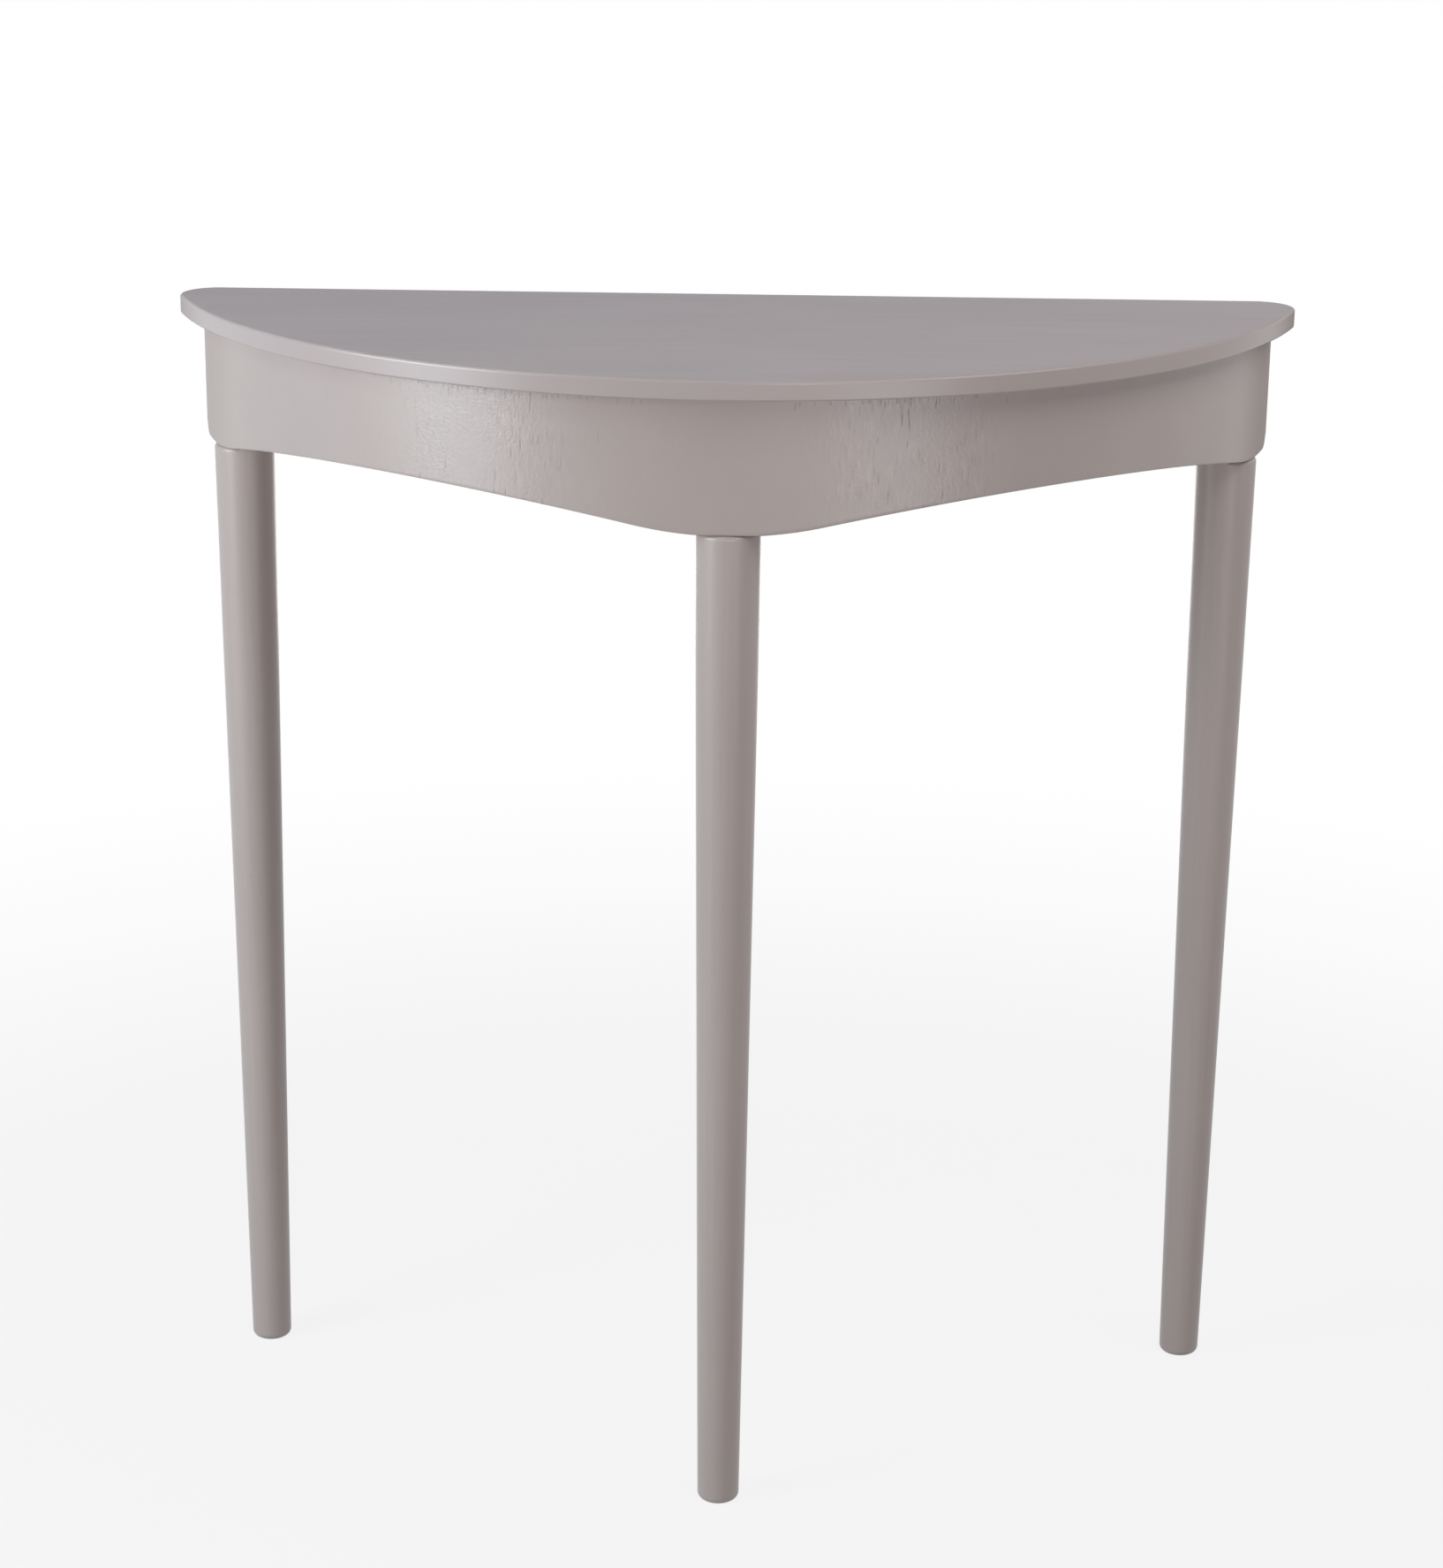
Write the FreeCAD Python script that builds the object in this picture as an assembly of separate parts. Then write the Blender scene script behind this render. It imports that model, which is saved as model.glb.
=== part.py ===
import FreeCAD, Part
import math
import os

# Demilune table in millimetres. +Z is up, the curved front faces -Y and the flat back +Y.
# The origin is on the floor, midway across the table and midway from its back to its foremost point.

# Overall height
table_height = 750.0

# Top board, a circular segment in plan
top_thickness = 12.0
top_radius = 384.0
top_depth = 294.0
top_corner_radius = 24.0
top_arris_ease = 2.0

# Bent apron of two laminations, set in from the edge of the top
apron_overhang = 18.0
apron_back_inset = 2.0
ply_thickness = 5.0

# Lower edge of the apron: a rounded tip with a flat landing at each leg, and an arch from tip to tip.
# The last two tips lie some degrees behind the side legs.
apron_depth = 85.5
arch_rise = 21.0
tip_radius = 315.0
tip_landing = 36.0
tip_past_leg = 2.5
apron_corner_radius = 10.0
wave_steps = 6

# Turned legs: one in the middle of the front, and one at each side, set in from the back of the apron
side_leg_setback = 29.5
leg_top_diameter = 40.0
leg_foot_diameter = 27.0
leg_shoulder_ease = 1.5
leg_foot_ease = 2.5
leg_proud = 1.0

# Blocks that take the legs
block_margin = 8.0

# Leg fixings
bolt_diameter = 8.0
bolt_in_leg = 40.0
insert_diameter = 12.0
insert_length = 25.0
bore_end_room = 3.0

# Back rail and its dowels
rail_thickness = 15.0
rail_depth = 64.0
dowel_diameter = 8.0
dowel_length = 40.0
dowel_edge = 18.0

# Short blocks under the top, at thirds of each arch and along the rail, and the screws through them
glue_block_size = 20.0
glue_block_length = 60.0
rail_block_offset = 130.0
screw_diameter = 4.0
screw_head_diameter = 8.0
screw_head_height = 2.6
screw_cover = 4.0

# Room round every pin, bolt and screw in its bore
bore_clearance = 0.1

# Worked out from the sizes above
back_y = top_depth / 2
arc_y = back_y - top_depth + top_radius
under_top = table_height - top_thickness
apron_radius = top_radius - apron_overhang
glue_line_radius = apron_radius - ply_thickness
apron_inner_radius = glue_line_radius - ply_thickness
apron_back_y = back_y - apron_back_inset
leg_length = under_top - apron_depth
leg_radius = leg_top_diameter / 2
leg_circle = apron_radius + leg_proud - leg_radius
leg_angle = math.degrees(math.acos((arc_y - apron_back_y + side_leg_setback) / leg_circle))
tip_angle = leg_angle + tip_past_leg
half_spacing = apron_radius * math.radians(tip_angle) / 2
tip_cut_off = tip_radius - math.sqrt(tip_radius ** 2 - (tip_landing / 2) ** 2)
wave_rise = arch_rise + tip_cut_off
arch_radius = half_spacing ** 2 / (2 * wave_rise) - tip_radius + wave_rise / 2
tip_reach = half_spacing * tip_radius / (arch_radius + tip_radius)
rail_front_y = apron_back_y - rail_thickness
screw_bite = top_thickness - screw_cover
screw_base = under_top - glue_block_size

Z = FreeCAD.Vector(0, 0, 1)


def at(x, y, z=0.0):
    return FreeCAD.Vector(x, y, z)


# A point this far from the arc's centre, with 0 degrees to the front and 90 to the right
def round_arc(radius, angle, z=0.0):
    turn = math.radians(angle)
    return at(radius * math.sin(turn), arc_y - radius * math.cos(turn), z)


def box(x0, x1, y0, y1, z0, z1):
    return Part.makeBox(x1 - x0, y1 - y0, z1 - z0, at(x0, y0, z0))


def upright(diameter, base, height):
    return Part.makeCylinder(diameter / 2, height, base, Z)


def disc_round_arc(radius, z0, z1):
    return upright(2 * radius, at(0, arc_y, z0), z1 - z0)


# Whether an edge lies flat at this height
def is_level(edge, z):
    return abs(edge.CenterOfMass.z - z) < 0.01 and edge.BoundBox.ZLength < 0.01


def is_at_back(edge):
    return edge.BoundBox.YMin > apron_back_y - 0.01


leg_places = {
    "front": round_arc(leg_circle, 0),
    "left": round_arc(leg_circle, -leg_angle),
    "right": round_arc(leg_circle, leg_angle),
}


# Middle of each short block, on its underside, and the turn that squares it to its seat
def short_block_places():
    places = {}
    middle_radius = apron_inner_radius - glue_block_size / 2
    for side, sign in (("left", -1), ("right", 1)):
        for end, share in (("front", 1 / 3), ("rear", 2 / 3)):
            angle = sign * leg_angle * share
            places[f"glue_block_{side}_{end}"] = (round_arc(middle_radius, angle, screw_base), angle)
        base = at(sign * rail_block_offset, rail_front_y - glue_block_size / 2, screw_base)
        places[f"rail_block_{side}"] = (base, 180.0)
    return places


short_blocks = short_block_places()


def top_panel():
    corner_y = back_y - top_corner_radius
    inner = top_radius - top_corner_radius
    corner_x = math.sqrt(inner ** 2 - (arc_y - corner_y) ** 2)
    slope = math.degrees(math.atan2(corner_x, arc_y - corner_y))
    middle = math.radians(slope / 2)

    def corner_bend(sign):
        out = at(sign * math.cos(middle), math.sin(middle)) * top_corner_radius
        return at(sign * corner_x, corner_y) + out

    right_end = round_arc(top_radius, slope)
    left_end = round_arc(top_radius, -slope)
    back_right = at(corner_x, back_y)
    back_left = at(-corner_x, back_y)
    outline = Part.Wire([
        Part.Arc(left_end, round_arc(top_radius, 0), right_end).toShape(),
        Part.Arc(right_end, corner_bend(1), back_right).toShape(),
        Part.LineSegment(back_right, back_left).toShape(),
        Part.Arc(back_left, corner_bend(-1), left_end).toShape(),
    ])
    outline.translate(Z * under_top)
    board = Part.Face(outline).extrude(Z * top_thickness)
    upper = [edge for edge in board.Edges if is_level(edge, table_height)]
    board = board.makeChamfer(top_arris_ease, upper)
    for base, turn in short_blocks.values():
        board = board.cut(screw_bore(base))
    return board


# How far the waved edge lies below the top at an angle round the arc, as cut in the flat sheet.
# At a tip it runs a little below the apron, which leaves the flat landing.
def wave_depth(angle):
    along = (apron_radius * math.radians(abs(angle))) % (2 * half_spacing)
    from_tip = min(along, 2 * half_spacing - along)
    if from_tip < tip_reach:
        return apron_depth + tip_cut_off - tip_radius + math.sqrt(tip_radius ** 2 - from_tip ** 2)
    from_crown = half_spacing - from_tip
    return apron_depth - arch_rise + arch_radius - math.sqrt(arch_radius ** 2 - from_crown ** 2)


# A curve along the wave between two angles, at some distance from the arc's centre
def wave_curve(radius, start, end):
    points = []
    for step in range(wave_steps + 1):
        angle = start + (end - start) * step / wave_steps
        points.append(round_arc(radius, angle, under_top - wave_depth(angle)))
    curve = Part.BSplineCurve()
    curve.interpolate(points)
    return curve.toShape()


# The wood below the waved edge, in stretches that end where a tip runs into an arch
def below_wave():
    tip_half = math.degrees(tip_reach / apron_radius)
    ends = [-tip_angle, tip_half - tip_angle, -tip_half, tip_half, tip_angle - tip_half, tip_angle]
    stretches = []
    for start, end in zip(ends, ends[1:]):
        inner = wave_curve(apron_inner_radius - ply_thickness, start, end)
        outer = wave_curve(apron_radius + ply_thickness, start, end)
        stretches.append(Part.makeRuledSurface(inner, outer).extrude(Z * -apron_depth))
    return stretches


# Rounds the lower corner of a piece where it ends at the flat back
def round_back_corner(piece):
    corner = [edge for edge in piece.Edges if is_level(edge, leg_length) and is_at_back(edge)]
    return piece.makeFillet(apron_corner_radius, corner)


below_apron = below_wave()


def apron_ply(outer, inner):
    ring = disc_round_arc(outer, leg_length, under_top).cut(disc_round_arc(inner, leg_length, under_top))
    behind = box(-top_radius, top_radius, apron_back_y, arc_y + top_radius, leg_length, under_top)
    return round_back_corner(ring.cut(behind)).cut(below_apron)


def leg(place):
    turned = Part.makeCone(leg_foot_diameter / 2, leg_radius, leg_length, place, Z)
    for z, ease in ((leg_length, leg_shoulder_ease), (0.0, leg_foot_ease)):
        rim = [edge for edge in turned.Edges if is_level(edge, z)]
        turned = turned.makeChamfer(ease, rim)
    bolt_end = place + Z * (leg_length - bolt_in_leg)
    return turned.cut(upright(bolt_diameter + 2 * bore_clearance, bolt_end, bolt_in_leg))


def insert_bore(place):
    depth = insert_length + bore_end_room
    return upright(insert_diameter + 2 * bore_clearance, place + Z * leg_length, depth)


def front_leg_block():
    place = leg_places["front"]
    side = leg_radius + block_margin
    block = box(-side, side, arc_y - apron_radius, place.y + side, leg_length, under_top)
    return block.common(disc_round_arc(apron_inner_radius, leg_length, under_top)).cut(insert_bore(place))


# Fills the corner behind its end of the apron, so that the back rail fits between the two
def side_leg_block(side, sign):
    place = leg_places[side]
    margin = leg_radius + block_margin
    inner = sign * (abs(place.x) - margin)
    outer = sign * top_radius
    x0, x1 = sorted((inner, outer))
    block = box(x0, x1, place.y - margin, apron_back_y, leg_length, under_top)
    block = round_back_corner(block.common(disc_round_arc(apron_inner_radius, leg_length, under_top)))
    for base in dowel_places():
        block = block.cut(dowel(base, bore_clearance))
    return block.cut(insert_bore(place))


def rail_half_length():
    return leg_places["right"].x - leg_radius - block_margin


def dowel_places():
    places = []
    middle_y = apron_back_y - rail_thickness / 2
    for sign in (-1, 1):
        start = sign * rail_half_length() - dowel_length / 2
        for z in (under_top - dowel_edge, under_top - rail_depth + dowel_edge):
            places.append(at(start, middle_y, z))
    return places


# A dowel, or with some room round it its bore
def dowel(base, room):
    start = base - at(room, 0, 0)
    return Part.makeCylinder(dowel_diameter / 2 + room, dowel_length + 2 * room, start, at(1, 0, 0))


def back_rail():
    reach = rail_half_length()
    rail = box(-reach, reach, rail_front_y, apron_back_y, under_top - rail_depth, under_top)
    for base in dowel_places():
        rail = rail.cut(dowel(base, bore_clearance))
    return rail


def threaded_insert(place):
    base = place + Z * leg_length
    sleeve = upright(insert_diameter, base, insert_length)
    return sleeve.cut(upright(bolt_diameter + 2 * bore_clearance, base, insert_length))


def hanger_bolt(place):
    return upright(bolt_diameter, place + Z * (leg_length - bolt_in_leg), bolt_in_leg + insert_length)


# A pan head screw that points up, with its head against the underside of its block
def wood_screw(base):
    head = upright(screw_head_diameter, base - Z * screw_head_height, screw_head_height)
    return head.fuse(upright(screw_diameter, base, glue_block_size + screw_bite))


def screw_bore(base):
    return upright(screw_diameter + 2 * bore_clearance, base, glue_block_size + screw_bite + bore_clearance)


def short_block(base, turn):
    half_length = glue_block_length / 2
    half_size = glue_block_size / 2
    block = box(-half_length, half_length, -2 * half_size, half_size, 0, glue_block_size)
    block.rotate(at(0, 0), Z, turn)
    block.translate(base)
    if turn == 180.0:
        seat = box(-top_radius, top_radius, -top_radius, rail_front_y, screw_base, under_top)
    else:
        seat = disc_round_arc(apron_inner_radius, screw_base, under_top)
    return block.common(seat).cut(screw_bore(base))


def group(shapes):
    return Part.makeCompound(list(shapes))


def all_nodes():
    nodes = {
        "top_panel": top_panel(),
        "apron_outer_ply": apron_ply(apron_radius, glue_line_radius),
        "apron_inner_ply": apron_ply(glue_line_radius, apron_inner_radius),
        "back_rail": back_rail(),
        "front_leg_block": front_leg_block(),
        "left_leg_block": side_leg_block("left", -1),
        "right_leg_block": side_leg_block("right", 1),
    }
    for name, place in leg_places.items():
        nodes[f"{name}_leg"] = leg(place)
    for name, (base, turn) in short_blocks.items():
        nodes[name] = short_block(base, turn)
    nodes["leg_threaded_inserts"] = group(threaded_insert(place) for place in leg_places.values())
    nodes["leg_hanger_bolts"] = group(hanger_bolt(place) for place in leg_places.values())
    nodes["rail_dowels"] = group(dowel(base, 0.0) for base in dowel_places())
    nodes["top_screws"] = group(wood_screw(base) for base, turn in short_blocks.values())
    return nodes


os.makedirs("parts", exist_ok=True)
for name, shape in all_nodes().items():
    shape.exportStep(f"parts/{name}.step")
    print(name, len(shape.Solids), "solids", round(shape.Volume / 1000, 2), "cm3", shape.isValid())
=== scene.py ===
import math
import random

import bmesh
import bpy
from mathutils import Matrix, Vector, noise


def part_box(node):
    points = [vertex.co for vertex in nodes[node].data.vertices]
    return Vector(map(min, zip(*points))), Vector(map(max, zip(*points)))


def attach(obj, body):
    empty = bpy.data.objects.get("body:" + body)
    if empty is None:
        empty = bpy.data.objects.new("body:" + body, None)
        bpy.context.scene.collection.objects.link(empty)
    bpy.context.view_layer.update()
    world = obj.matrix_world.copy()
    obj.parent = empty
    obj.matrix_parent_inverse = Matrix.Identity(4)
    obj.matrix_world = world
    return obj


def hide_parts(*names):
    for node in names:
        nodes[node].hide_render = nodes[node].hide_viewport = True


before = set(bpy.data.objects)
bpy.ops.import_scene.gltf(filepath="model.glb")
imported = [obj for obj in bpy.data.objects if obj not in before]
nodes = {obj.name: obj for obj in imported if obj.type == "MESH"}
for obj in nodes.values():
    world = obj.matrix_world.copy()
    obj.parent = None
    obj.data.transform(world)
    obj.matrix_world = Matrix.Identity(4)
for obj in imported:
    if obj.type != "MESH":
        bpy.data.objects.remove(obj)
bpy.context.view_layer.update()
scene = bpy.context.scene
scene.view_settings.view_transform = "Standard"
print("frame loaded with", len(nodes), "nodes")


# the camera, as the photograph was taken

photoView = {
    "place": (0.03207, -2.21266, 1.16265),
    "yaw": -0.01646,                  # radians, to the right
    "pitch": 0.30906,                 # down
    "roll": 0.01052,
    "lens": 82.294,                   # mm
    "longSide": 36,                   # mm of sensor along the picture's long side
}


def setCamera(view):
    lens = bpy.data.cameras.new("photoCamera")
    lens.sensor_width = view["longSide"]
    lens.lens = view["lens"]
    camera = bpy.data.objects.new("photoCamera", lens)
    turn = Matrix.Rotation(-view["yaw"], 4, "Z")
    tilt = Matrix.Rotation(math.pi / 2 - view["pitch"], 4, "X")
    lean = Matrix.Rotation(view["roll"], 4, "Z")
    camera.matrix_world = Matrix.Translation(view["place"]) @ turn @ tilt @ lean
    scene.collection.objects.link(camera)
    scene.camera = camera


setCamera(photoView)
print("camera set")


# finishes: a socket that can be used in sums, and the node tree it belongs to

class Flow:
    def __init__(self, finish, socket):
        self.finish = finish
        self.socket = socket

    def maths(self, operation, *inputs):
        return self.finish.node("Math", {"operation": operation}, dict(enumerate(inputs)))

    def __add__(self, other):
        return self.maths("ADD", self, other)

    def __radd__(self, other):
        return self.maths("ADD", other, self)

    def __sub__(self, other):
        return self.maths("SUBTRACT", self, other)

    def __rsub__(self, other):
        return self.maths("SUBTRACT", other, self)

    def __mul__(self, other):
        return self.maths("MULTIPLY", self, other)

    def __rmul__(self, other):
        return self.maths("MULTIPLY", other, self)

    def __pow__(self, other):
        return self.maths("POWER", self, other)

    def __rpow__(self, other):
        return self.maths("POWER", other, self)

    def most(self, other):
        return self.maths("MAXIMUM", self, other)

    def fract(self):
        return self.maths("FRACT", self)

    def twin(self, output):                       # another output of the same node
        return Flow(self.finish, self.socket.node.outputs[output])


# satin paint loses its gloss where it is seen along the surface, between these facing values
dimming = {"starts": 0.62, "full": 0.86}


class Finish:
    def __init__(self, tree):
        self.tree = tree

    def node(self, kind, settings=None, inputs=None, output=0):
        made = self.tree.nodes.new("ShaderNode" + kind)
        for name, value in (settings or {}).items():
            setattr(made, name, value)
        for name, value in (inputs or {}).items():
            self.give(made.inputs[name], value)
        return Flow(self, made.outputs[output])

    def give(self, socket, value):
        if isinstance(value, Flow):
            self.tree.links.new(value.socket, socket)
        else:
            socket.default_value = value

    # swaps the shader that a new tree starts with for another one
    def endWith(self, shader, oldName, outputName):
        self.tree.nodes.remove(self.tree.nodes[oldName])
        self.give(self.tree.nodes[outputName].inputs["Surface"], shader)

    def objectPlace(self):
        return self.node("TexCoord", output="Object")

    def axes(self, where):
        x = self.node("SeparateXYZ", None, {"Vector": where})
        return x, x.twin("Y"), x.twin("Z")

    # metres out from the centre of the front arcs
    def outFromArc(self, where):
        x, y = self.axes(where)[:2]
        return (x ** 2 + (y - plan["arcY"]) ** 2) ** 0.5

    def mapped(self, where, scale=(1, 1, 1), turn=(0, 0, 0), shift=(0, 0, 0)):
        moves = {"Vector": where, "Scale": scale, "Rotation": turn, "Location": shift}
        return self.node("Mapping", None, moves)

    # noise with so many waves a metre along each axis
    def grain(self, where, waves, detail=2.0, rough=0.5, twist=0.0):
        values = {"Vector": self.mapped(where, waves), "Scale": 1.0}
        values.update({"Detail": detail, "Roughness": rough, "Distortion": twist})
        return self.node("TexNoise", None, values)

    # how far the edge of a coat of paint wanders, within so many metres
    def ragged(self, where, waves, width):
        return (self.grain(where, waves, 3) - 0.5) * width

    # a soft step from 0 at low to 1 at high
    def step(self, value, low, high):
        ends = {"Value": value, "From Min": low, "From Max": high}
        return self.node("MapRange", {"interpolation_type": "SMOOTHSTEP"}, ends)

    def blend(self, share, first, second):
        return self.node("Mix", {"data_type": "RGBA"}, {0: share, 6: first, 7: second}, 2)

    # two close tones of one paint
    def clouded(self, patchy, look):
        return self.blend(self.step(patchy, 0.3, 0.7), tone(*look["tone"]), tone(*look["shade"]))

    # small round nibs, a share of the cells of a grid with so many cells a metre
    def nibs(self, where, cells, size, share):
        near = self.node("TexVoronoi", None, {"Vector": where, "Scale": cells})
        pick = self.node("SeparateColor", None, {"Color": near.twin("Color")})
        return self.step(near, size, 0.0) * self.step(pick, 1 - share, 1 - share + 0.01)

    # 0 where the paint is seen square on, 1 where it is seen along the surface
    def lowView(self):
        facing = self.node("LayerWeight", None, {"Blend": 0.5}, "Facing")
        return self.step(facing, dimming["starts"], dimming["full"])

    # rays that see plain white round the table
    def whiteRays(self):
        path = self.node("LightPath", output="Is Camera Ray")
        return path.most(path.twin("Is Glossy Ray")).most(path.twin("Is Transmission Ray"))

    def bump(self, height):                       # height in metres
        return self.node("Bump", None, {"Strength": 1.0, "Distance": 1.0, "Height": height})


class SurfaceFinish(Finish):
    def __init__(self, name, constants):
        self.material = bpy.data.materials.new(name)
        self.material.use_nodes = True
        super().__init__(self.material.node_tree)
        self.shader = self.tree.nodes["Principled BSDF"]
        for socket, value in constants.items():
            self.shader.inputs[socket].default_value = value

    def surface(self, colour, roughness, height):
        self.give(self.shader.inputs["Base Color"], colour)
        self.give(self.shader.inputs["Roughness"], roughness)
        self.give(self.shader.inputs["Normal"], self.bump(height))
        return self.material


# a colour as a paint maker writes it, from 0 to 255
def tone(red, green, blue):
    def linear(value):
        share = value / 255
        return share / 12.92 if share <= 0.04045 else ((share + 0.055) / 1.055) ** 2.4
    return (linear(red), linear(green), linear(blue), 1.0)


# steps that the pieces share

samePlace = 1e-6              # metres


def everything(bm):
    return bm.verts[:] + bm.edges[:] + bm.faces[:]


def ease(bm, edges, offset, segments, clamp=False):
    bmesh.ops.bevel(
        bm, geom=edges, offset=offset, segments=segments, profile=0.5, affect="EDGES", material=-1,
        clamp_overlap=clamp,
    )


# a loop of edges at one height, which keeps a rounded edge's shading off the face beside it
def cutLoop(bm, level):
    bmesh.ops.bisect_plane(bm, geom=everything(bm), plane_co=(0, 0, level), plane_no=(0, 0, 1))


# one finished mesh becomes a piece of the table
def addPiece(bm, name, slotName, material, *standsFor, sharp=50):
    bmesh.ops.remove_doubles(bm, verts=bm.verts, dist=samePlace)
    bmesh.ops.recalc_face_normals(bm, faces=bm.faces)
    mesh = bpy.data.meshes.new(name)
    bm.to_mesh(mesh)
    bm.free()
    mesh.shade_smooth()
    mesh.set_sharp_from_angle(angle=math.radians(sharp))
    mesh.materials.append(material)
    piece = bpy.data.objects.new(name, mesh)
    scene.collection.objects.link(piece)
    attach(piece, "root")
    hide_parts(*standsFor)
    print(name, "made with", len(mesh.polygons), "faces")


plan = {                      # the table from above, and its heights, in metres
    "arcY": 0.237,            # centre of every front arc
    "backY": 0.147,
    "apronBackY": 0.145,
    "underTop": 0.738,
    "height": 0.750,
}


# painted top board

boardWood = {                         # the underside, never painted inside the apron
    "light": (209, 181, 141),
    "dark": (187, 154, 112),
    "clearOf": (0.3570, 0.3535),      # the paint ends about here, metres from the arc's centre
    "clearOfRail": (0.1310, 0.1285),  # and here, metres back
    "skin": (0.0004, 0.0001),         # metres above the underside
    "ragged": (90, 90, 1),
    "raggedWidth": 0.008,
    "figure": (6, 70, 6),
    "pores": (40, 900, 40),
    "poreHeight": 0.00003,
    "roughness": 0.3,                 # more than the paint's
}

topPaint = {
    "shader": {"IOR": 1.25, "Coat Roughness": 0.29, "Coat IOR": 1.6},
    # the top face's two tones are lighter than the edge's, in the same paint: painted light from above on
    # the top
    "tone": (185, 178, 179),
    "shade": (178, 171, 173),
    "roughness": 0.51,                # rubbed on top, glossier round the edge
    "rubbedTopPaintedLight": (0.0010, 0.0002),       # metres below the upper face
    "edgeTone": (167, 158, 158),
    "edgeRoughness": 0.31,
    "edgeCoat": 0.75,
    "edgeDimming": 0.4,
    "broad": (4, 9, 4),
    "lines": (7, 250, 40),            # brush and grain lines run across the table
    "lineHeight": 0.000012,
    "peel": (620, 620, 620),
    "peelHeight": 0.000008,
    "dust": (45, 0.05, 0.12),
    "dustTone": (120, 112, 108),
    "dustHeight": 0.00004,
}


def topFinish(look, board):
    finish = SurfaceFinish("satinTaupeTop", look["shader"])
    where = finish.objectPlace()
    y, z = finish.axes(where)[1:]
    broad = finish.grain(where, look["broad"], 3)
    lines = finish.grain(where, look["lines"], 4, 0.6)
    peel = finish.grain(where, look["peel"], 1)
    dust = finish.nibs(where, *look["dust"])
    colour = finish.clouded(broad * 0.5 + lines * 0.5, look)
    colour = finish.blend(dust * 0.35, colour, tone(*look["dustTone"]))
    # the top face takes the lighter tones, painted light from above, and is rubbed matt; the edge keeps the
    # paint's own tone
    rubbedTopPaintedLight = finish.step(z, *(plan["height"] - drop for drop in look["rubbedTopPaintedLight"]))
    colour = finish.blend(rubbedTopPaintedLight, tone(*look["edgeTone"]), colour)
    roughness = look["edgeRoughness"] + rubbedTopPaintedLight * (look["roughness"] - look["edgeRoughness"])
    roughness = roughness + (lines - 0.5) * rubbedTopPaintedLight * 0.12 + (broad - 0.5) * 0.05
    height = lines * rubbedTopPaintedLight * look["lineHeight"] + peel * look["peelHeight"] + dust * look["dustHeight"]

    # bare wood under the board, where the apron hides it
    ragged = finish.ragged(where, board["ragged"], board["raggedWidth"])
    within = finish.step(finish.outFromArc(where) + ragged, *board["clearOf"])
    within = within * finish.step(y + ragged, *board["clearOfRail"])
    bare = within * finish.step(z, *(plan["underTop"] + rise for rise in board["skin"]))
    figure = finish.grain(where, board["figure"], 3, 0.6, 0.4)
    pores = finish.grain(where, board["pores"], 2)
    wood = finish.blend(figure * 0.7 + pores * 0.3, tone(*board["light"]), tone(*board["dark"]))
    colour = finish.blend(bare, colour, wood)
    lowView = finish.lowView()
    roughness = roughness + bare * board["roughness"] + (1 - rubbedTopPaintedLight) * lowView * look["edgeDimming"]
    coat = (1 - rubbedTopPaintedLight) * (1 - bare) * (1 - lowView) * look["edgeCoat"]
    finish.give(finish.shader.inputs["Coat Weight"], coat)
    return finish.surface(colour, roughness, height + bare * pores * board["poreHeight"])


topBoard = {
    "radius": 0.384,
    "corner": 0.024,
    "arris": 0.0017,          # rounded upper edge
    "arrisSteps": 5,
    "underArris": 0.0008,
    "underSteps": 2,
    "arcSteps": 240,
    "cornerSteps": 28,
    "lip": 0.0005,            # narrow band beside each rounded edge
}


def makeTop(board):
    arcY, backY = plan["arcY"], plan["backY"]
    low, high = plan["underTop"], plan["height"]
    cornerY = backY - board["corner"]
    reach = board["radius"] - board["corner"]
    cornerX = math.sqrt(reach ** 2 - (arcY - cornerY) ** 2)
    slope = math.atan2(cornerX, arcY - cornerY)
    bm = bmesh.new()

    def vertsIn(geometry):
        return [item for item in geometry if isinstance(item, bmesh.types.BMVert)]

    def sweep(vert, centre, angle, steps):
        swept = bmesh.ops.spin(
            bm, geom=[vert], cent=(*centre, 0), axis=(0, 0, 1), angle=angle, steps=steps
        )
        return vertsIn(swept["geom_last"])[0]

    # outline of the underside: front arc, right corner, straight back, left corner
    side = board["radius"] * math.sin(slope)
    first = bm.verts.new((-side, arcY - board["radius"] * math.cos(slope), low))
    last = sweep(first, (0, arcY), 2 * slope, board["arcSteps"])
    last = sweep(last, (cornerX, cornerY), math.pi - slope, board["cornerSteps"])
    backLeft = bm.verts.new((-cornerX, backY, low))
    bm.edges.new((last, backLeft))
    sweep(backLeft, (-cornerX, cornerY), math.pi - slope, board["cornerSteps"])
    bmesh.ops.remove_doubles(bm, verts=bm.verts, dist=samePlace)
    lower = bmesh.ops.contextual_create(bm, geom=bm.edges[:])["faces"]
    raised = bmesh.ops.extrude_face_region(bm, geom=lower)["geom"]
    bmesh.ops.translate(bm, verts=vertsIn(raised), vec=(0, 0, high - low))
    bmesh.ops.recalc_face_normals(bm, faces=bm.faces)

    def rim(z):
        return [edge for edge in bm.edges if all(abs(vert.co.z - z) < samePlace for vert in edge.verts)]

    ease(bm, rim(high), board["arris"], board["arrisSteps"])
    ease(bm, rim(low), board["underArris"], board["underSteps"])
    cutLoop(bm, high - board["arris"] - board["lip"])
    cutLoop(bm, low + board["underArris"] + board["lip"])
    flats = [face for face in bm.faces if abs(face.normal.z) > 0.999 and len(face.verts) > 8]
    for flat in flats:
        bmesh.ops.inset_region(bm, faces=[flat], thickness=board["lip"], use_even_offset=True)
    addPiece(bm, "tableTop", "painted_top", topFinish(topPaint, boardWood), "top_panel")


makeTop(topBoard)


# bent apron: its lower edge is an arch between a rounded tip at each leg

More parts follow.
